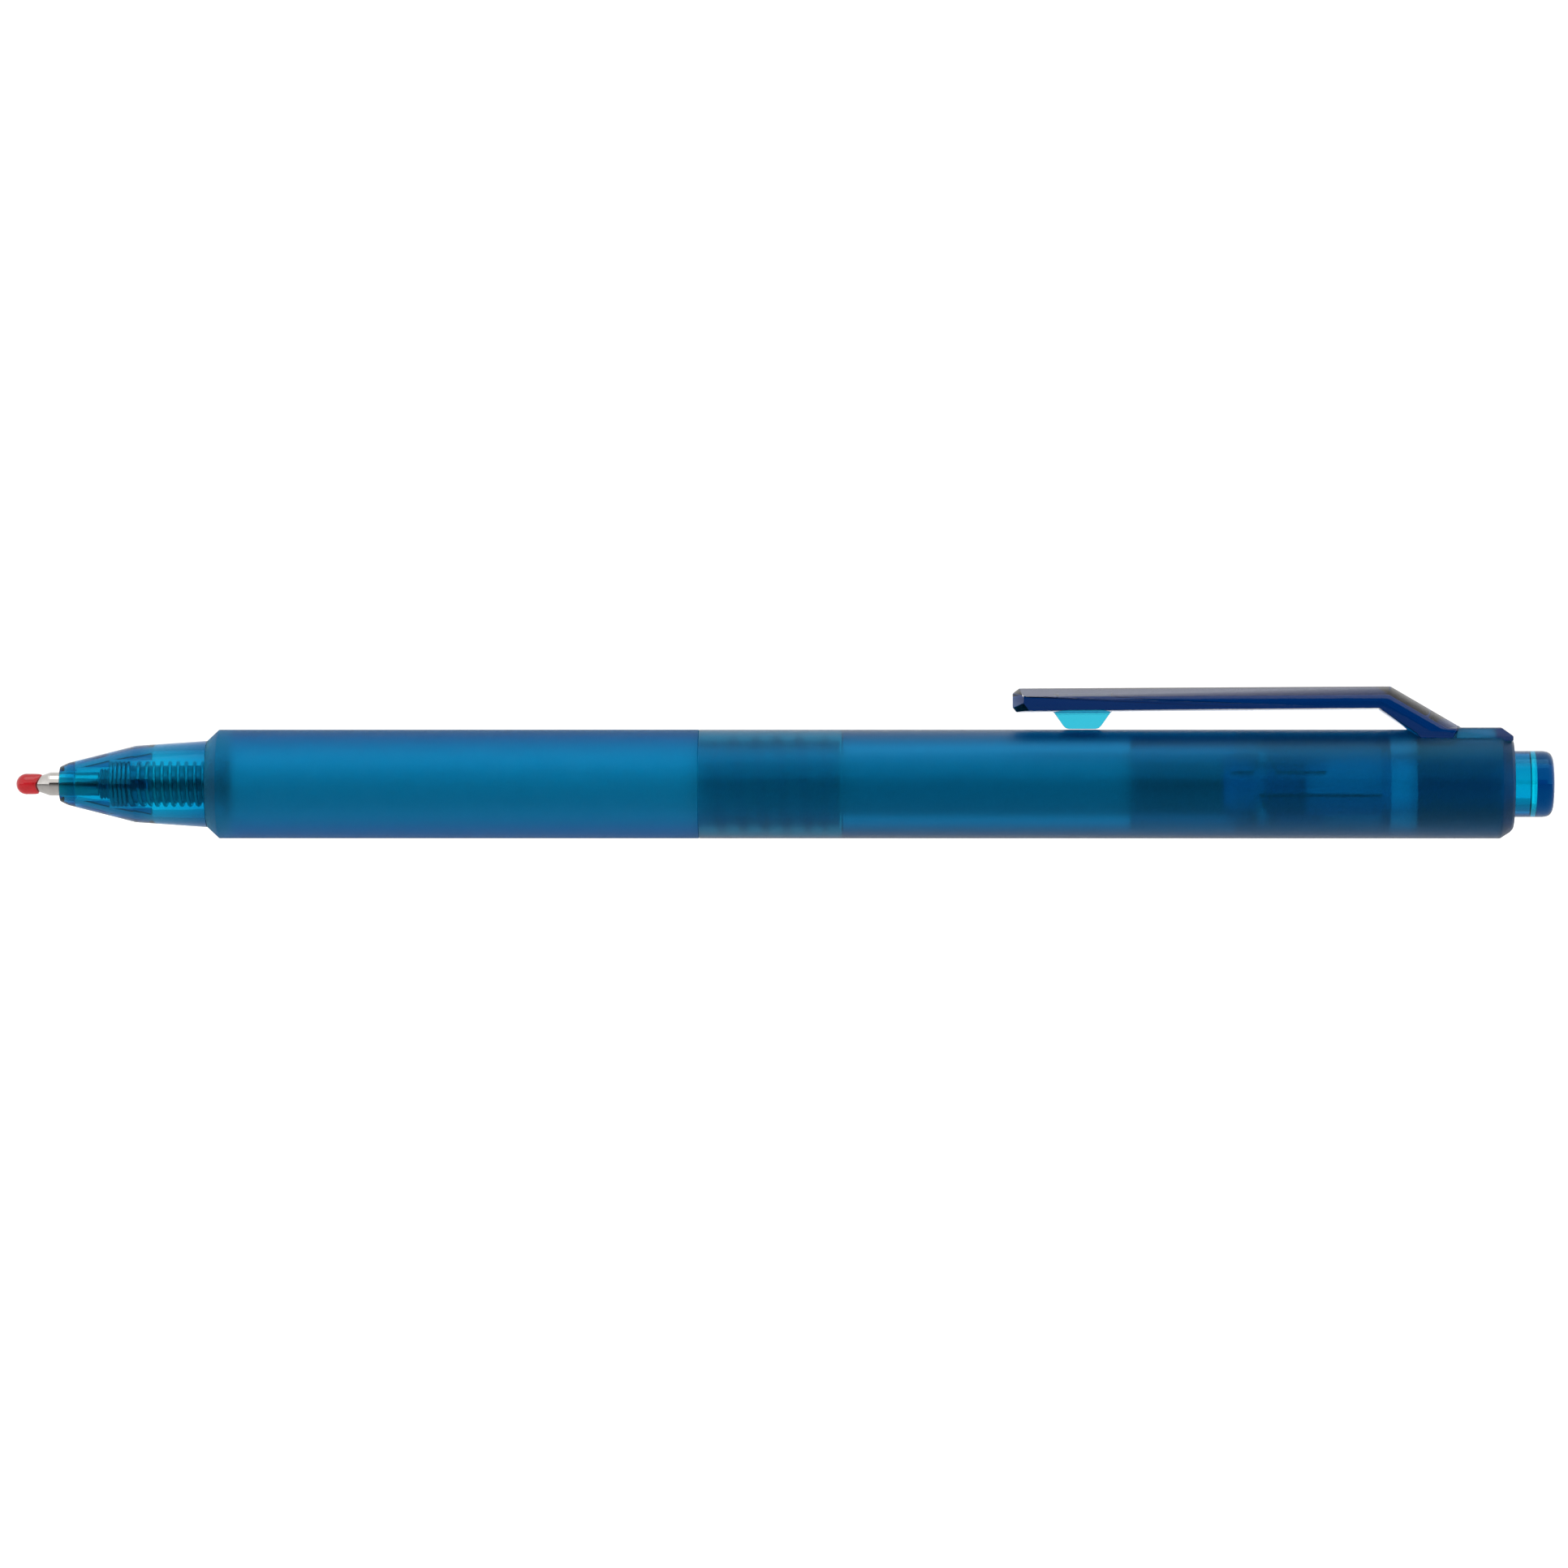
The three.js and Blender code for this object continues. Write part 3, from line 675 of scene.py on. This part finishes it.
def make_front_barrel():
    """The frosted grip half, with its threaded spigot."""
    seam, spigot, crest, bore = SEAM - 0.03, 4.12, 0.26, 3.2
    thread_front, thread_rear, step = -6.5, 3.4, 0.1
    nose_socket, socket_end = 3.65, NOSE_REAR - 0.7
    count = round((thread_rear - thread_front) / step)
    threaded = [(thread_front + i * step, spigot) for i in range(count + 1)]

    def shape(x, r, angle):
        if thread_front <= x <= thread_rear and r > 4.0:
            return x, r + thread_height(x, angle, thread_front, thread_rear, crest)
        return x, r

    outline = [
        (GRIP_FRONT, 4.03, 0.06),
        (-51.9, BARREL_RADIUS, 0.15),
        (seam, BARREL_RADIUS, 0.08),
        (seam, spigot),
        *threaded,
        (3.7, spigot),
        (3.75, spigot + 0.2, 0.05),
        (4.1, spigot + 0.2, 0.05),
        (4.15, spigot),
        (SPIGOT_REAR, spigot, 0.2),
        (SPIGOT_REAR, bore),
        (socket_end, bore),
        (socket_end, nose_socket),
        (GRIP_FRONT, nose_socket),
    ]
    return turned("front_barrel_grip", outline, shape)


def make_rear_barrel():
    """The rear half: socket, bore, end wall with the button's hole, and slot for the clip."""
    radius, bore, socket, button_hole, end_wall = BARREL_RADIUS, 4.1, 4.43, 3.2, 65.7
    body = turned(
        "rear_barrel_shell",
        [
            (SEAM, radius, 0.06),
            (65.8, radius, 0.15),
            (66.7, 4.43, 0.15),
            (REAR_FACE, 4.15, 0.1),
            (REAR_FACE, button_hole, 0.08),
            (end_wall, button_hole),
            (end_wall, bore),
            (5.55, bore),
            (5.45, socket),
            (SEAM, socket),
        ],
    )
    half, floor, above = CLIP_SLOT_HALF_WIDTH, 3.93, 6.5
    outline = [(58.34, floor), (REAR_FACE + 1, floor), (REAR_FACE + 1, above), (55.99, above)]
    outline += [(55.99, 5.85), (58.34, 4.26)]
    combine(body, across("slot", outline, half), "DIFFERENCE")
    return body


def make_bush():
    """The ring in the rear end that guides the button."""
    front, rear, outer, inner = BUSH_FRONT, BUSH_REAR, 4.05, 3.15
    outline = [(front, outer, 0.15), (rear, outer), (rear, inner), (front, inner, 0.15)]
    return turned("end_bush_ring", outline)


def make_sleeve():
    """The sleeve that locks the cam: three slanted rails and a ring behind them."""
    stop = 54.8
    outline = [(SLEEVE_FRONT, 4.05, 0.1), (SLEEVE_REAR, 4.05), (SLEEVE_REAR, 3.13)]
    outline += [(stop, 3.13), (stop, 3.7), (SLEEVE_FRONT, 3.7, 0.1)]
    sleeve = turned("guide_sleeve_rails", outline)
    for degrees in (0, 120, 240):
        rail = spoke("rail", 43.6, stop + 0.2, 3.2, 3.85, 1.7, degrees, front_slant=0.8)
        combine(sleeve, rail, "UNION")
    return sleeve


# ---------------------------------------------------------------- the click mechanism


def make_button():
    """The button: a thick end with a pocket behind a neck, a long tube and three keys."""
    outer, bore, neck, pocket = 3.05, 2.5, 1.9, 2.35
    body = turned(
        "push_button_tube",
        [
            (BUTTON_FRONT, outer, 0.1),
            (BUTTON_REAR, outer, 1.0),
            (BUTTON_REAR, 0.0),
            (69.05, 0.0),
            (69.05, pocket, 0.1),
            (68.5, pocket, 0.05),
            (68.5, neck, 0.1),
            (66.0, neck, 0.1),
            (66.0, bore),
            (BUTTON_FRONT, bore),
        ],
    )
    for degrees in (60, 180, 300):
        key = spoke("key", 44.6, 49.65, 2.75, 3.55, 1.6, degrees, front_slant=0.6)
        combine(body, key, "UNION")
    return body


def make_cam():
    """The cam: a plug in the refill, a flange, a stem and three slanted ribs."""
    flange_front, flange_rear = 40.4, 43.4
    plug, flange, stem = 2.45, 2.95, 2.2
    body = turned(
        "rotary_cam_body",
        [
            (CAM_FRONT, 0.0),
            (CAM_FRONT, plug, 0.3),
            (flange_front, plug),
            (flange_front, flange, 0.1),
            (flange_rear, flange, 0.1),
            (flange_rear, stem),
            (CAM_REAR, stem, 0.3),
            (CAM_REAR, 0.0),
        ],
    )
    for degrees in (60, 180, 300):
        rib = spoke("rib", 41.0, 43.6, 2.3, 3.55, 1.6, degrees, rear_slant=0.6)
        combine(body, rib, "UNION")
    return body


# ---------------------------------------------------------------- the clip


def make_clip():
    """The clip in one moulding: a root in the barrel's slot, a springy arm and its lug."""
    top, front, rear, floor = ARM_TOP, ARM_FRONT, ROOT_REAR, ROOT_FLOOR - 0.03
    outline = [
        (front, 7.0),
        (front + 0.35, 6.58),
        (54.6, 6.81),
        (58.3, 4.3),
        (58.45, floor),
        (65.62, floor),
        (65.62, 3.935),
        (rear + 0.05, 3.935),
        (rear + 0.05, 4.45),
        (65.85, 5.19),
        (62.14, 5.19),
        (55.7, top),
        (front + 0.6, top - 0.19),
        (front, 8.3),
    ]
    insets = [1.0, 0.15, 0.15, 0.02, 0.02, 0.02, 0.02, 0.05, 0.1, 0.1, 0.8, 0.8, 0.8, 1.0]
    clip = across("clip_spring_arm", outline, 2.6, 1.5, insets)
    hollow = [(61.3, 4.12), (65.3, 4.12), (65.3, 4.95), (61.9, 4.95)]
    combine(clip, across("hollow", hollow, 1.3), "DIFFERENCE")
    soften(clip, 0.06)
    lug = [(24.5, 6.8), (24.9, 6.55), (25.75, 5.35), (26.0, 5.12), (26.3, 5.05)]
    lug += [(28.7, 5.05), (29.0, 5.12), (29.25, 5.35), (30.1, 6.55), (30.5, 6.8)]
    lug_bar = across("lug", lug, 0.42)
    soften(lug_bar, 0.06)
    combine(clip, lug_bar, "UNION")
    return clip


# ---------------------------------------------------------------- putting it together


def build_pen():
    frosted = frosted_plastic(
        "frosted_grip_plastic", (0.003, 0.73, 0.865), 0.52, 0.62, 0.03, 3.62, front=-51.8
    )
    frosted_deep = frosted_plastic(
        "frosted_rear_plastic", (0.008, 0.45, 0.66), 0.3, 0.36, 0.02, 4.7, rear=41.5
    )
    cam_plastic = inner_plastic("cam_plastic", (0.55, 0.86, 0.93), 0.45)
    ink = wet_liquid("gel_ink", (0.004, 0.03, 0.2), (0.006, 0.045, 0.26))
    grease = wet_liquid("follower_grease", (0.6, 0.58, 0.42), (0.72, 0.7, 0.55))

    install(make_seal(), "seal", seal_resin(), "red_wax", "tip_seal")
    install(make_ball(), "refill", ball_metal(), "ball_steel", "writing_ball")
    install(make_cone(), "refill", turned_steel(), "tip_steel", "tip_cone")
    install(make_holder(), "refill", holder_plastic(), "holder_plastic", "tip_holder")
    install(make_tube(), "refill", refill_plastic(), "refill_clear", "refill_tube")
    column = make_liquid("gel_ink_column", INK_FRONT, INK_REAR, 0.0, 0.3)
    install(column, "refill", ink, "gel_ink", "ink_column")
    install(make_ink_thread(), "refill", ink, "gel_ink", "ink_column")
    follower = make_liquid("grease_follower", FOLLOWER_FRONT, FOLLOWER_REAR, 0.3, -0.8)
    install(follower, "refill", grease, "follower_grease", "ink_follower")

    install(make_nose(), "front_section", nose_plastic(), "clear_blue", "nose_cone")
    install(make_front_barrel(), "front_section", frosted, "frosted_blue", "front_barrel")
    install(make_rear_barrel(), "rear_section", frosted_deep, "frosted_deep_blue", "rear_barrel")
    bush_plastic = inner_plastic("bush_plastic", (0.08, 0.36, 0.5), 0.1)
    install(make_bush(), "rear_section", bush_plastic, "bush_blue", "end_bush")
    sleeve_plastic = inner_plastic("sleeve_plastic", (0.1, 0.6, 0.74), 0.1)
    install(make_sleeve(), "rear_section", sleeve_plastic, "sleeve_blue", "guide_sleeve")
    install(make_button(), "button", button_plastic(), "button_blue", "push_button")
    install(make_cam(), "cam", cam_plastic, "cam_plastic", "rotary_cam")

    spring = make_spring()
    install(spring, None, spring_steel(), "spring_steel", "return_spring")
    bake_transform(spring)

    clip = make_clip()
    install(clip, None, clip_plastic(), "clip_blue", "clip_arm", "clip_root")
    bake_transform(clip)


# ---------------------------------------------------------------- stage, light and camera


def make_stage():
    """A white floor that glows softly like a light table, and a white surround, dimmer above."""
    half = 3.0
    floor = new_piece(
        "studio_floor",
        [(-half, -half, 0), (half, -half, 0), (half, half, 0), (-half, half, 0)],
        [(0, 1, 2, 3)],
    )
    floor.location.z = AXIS_HEIGHT - (BARREL_RADIUS + 0.01) * MM
    shader = Shader("floor_white", Roughness=0.9, Emission_Strength=0.9)
    mottle = shader.noise(3, 2)
    shader.tone(mottle, (0.33,) * 3, (0.36,) * 3)
    floor.data.materials.append(shader.material)

    world = bpy.data.worlds.new("studio_white")
    world.use_nodes = True
    background = world.node_tree.nodes["Background"]
    background.inputs["Color"].default_value = (1, 1, 1, 1)
    bpy.context.scene.world = world

    nodes, links = world.node_tree.nodes, world.node_tree.links
    upward = nodes.new("ShaderNodeSeparateXYZ")
    links.new(nodes.new("ShaderNodeTexCoord").outputs["Generated"], upward.inputs["Vector"])
    dimming = nodes.new("ShaderNodeMapRange")
    dimming.inputs["To Min"].default_value = 1.15
    dimming.inputs["To Max"].default_value = 0.8
    links.new(upward.outputs["Z"], dimming.inputs["Value"])
    links.new(dimming.outputs["Result"], background.inputs["Strength"])


def add_reflection_card(name, corners, near_grey, far_grey, near, far):
    """A glowing card that only reflections and see-through plastic show, a painted reflection of
    studio shade, darker away from the pen.

    Its grey runs between two stations along Y, in metres.
    """
    card = new_piece(name, corners, [(0, 1, 2, 3)])
    shader = Shader(name, Roughness=1.0, Base_Color=(0, 0, 0, 1))
    shader.surface.inputs["Specular IOR Level"].default_value = 0.0
    place = shader.add("ShaderNodeSeparateXYZ")
    shader.links.new(shader.add("ShaderNodeTexCoord").outputs["Object"], place.inputs["Vector"])
    fade = shader.spread(place.outputs["Y"], near_grey, far_grey)
    fade.node.inputs["From Min"].default_value = near
    fade.node.inputs["From Max"].default_value = far
    shader.surface.inputs["Emission Color"].default_value = (1, 1, 1, 1)
    shader.links.new(fade, shader.surface.inputs["Emission Strength"])
    card.data.materials.append(shader.material)
    # Hidden from the camera, from diffuse light and from shadows, so the card only paints
    # reflections.
    card.visible_camera = card.visible_diffuse = card.visible_shadow = False


def add_area_light(name, location, target, size, power):
    light = bpy.data.lights.new(name, "AREA")
    light.shape, light.size, light.size_y, light.energy = "RECTANGLE", size[0], size[1], power
    lamp = bpy.data.objects.new(name, light)
    bpy.context.collection.objects.link(lamp)
    lamp.location = location
    aim = Vector(target) - Vector(location)
    lamp.rotation_euler = aim.to_track_quat("-Z", "Y").to_euler()


def add_camera():
    """A long lens level with the pen's axis, a little towards the button."""
    distance, azimuth, aim_x = 0.67, math.radians(1.2), 0.0001
    data = bpy.data.cameras.new("camera")
    data.lens, data.sensor_width = 167.3, 36.0
    camera = bpy.data.objects.new("camera", data)
    bpy.context.collection.objects.link(camera)
    across_x, back_y = distance * math.sin(azimuth), -distance * math.cos(azimuth)
    camera.location = (aim_x + across_x, back_y, AXIS_HEIGHT)
    camera.rotation_euler = (math.radians(90), 0, azimuth)
    data.clip_start = 0.01
    bpy.context.scene.camera = camera


def add_painted_shade_cards():
    """Cards that paint shade into the reflections of the pen's lower half, standing in for the dim
    side of a studio.
    """
    wide, near, far, high = 0.6, -0.002, -0.95, 0.24
    low, back = AXIS_HEIGHT - (BARREL_RADIUS + 0.005) * MM, 0.014
    # Painted shade in reflections: a dim card in front, a grey card under the pen and a black card
    # at the far end.
    table = [(-wide, far, low), (wide, far, low), (wide, near, low), (-wide, near, low)]
    add_reflection_card("painted_shade_front_card", table, 0.6, 0.14, near, -0.03)
    shade = [(-wide, near, low), (wide, near, low), (wide, back, low), (-wide, back, low)]
    add_reflection_card("painted_shade_under_pen", shade, 0.6, 0.9, near, back)
    end = [(-wide, far, low), (wide, far, low), (wide, far, high), (-wide, far, high)]
    add_reflection_card("painted_dark_end_card", end, 0.0, 0.0, near, far)


def main():
    build_pen()
    make_stage()
    add_painted_shade_cards()
    add_area_light("key_above", (0.1, -0.25, 0.9), (0, 0, 0), (1.2, 0.6), 3.0)
    add_camera()
    bpy.context.scene.view_settings.view_transform = "Standard"
    bpy.context.scene.cycles.transmission_bounces = 24
    bpy.context.scene.cycles.max_bounces = 28


main()
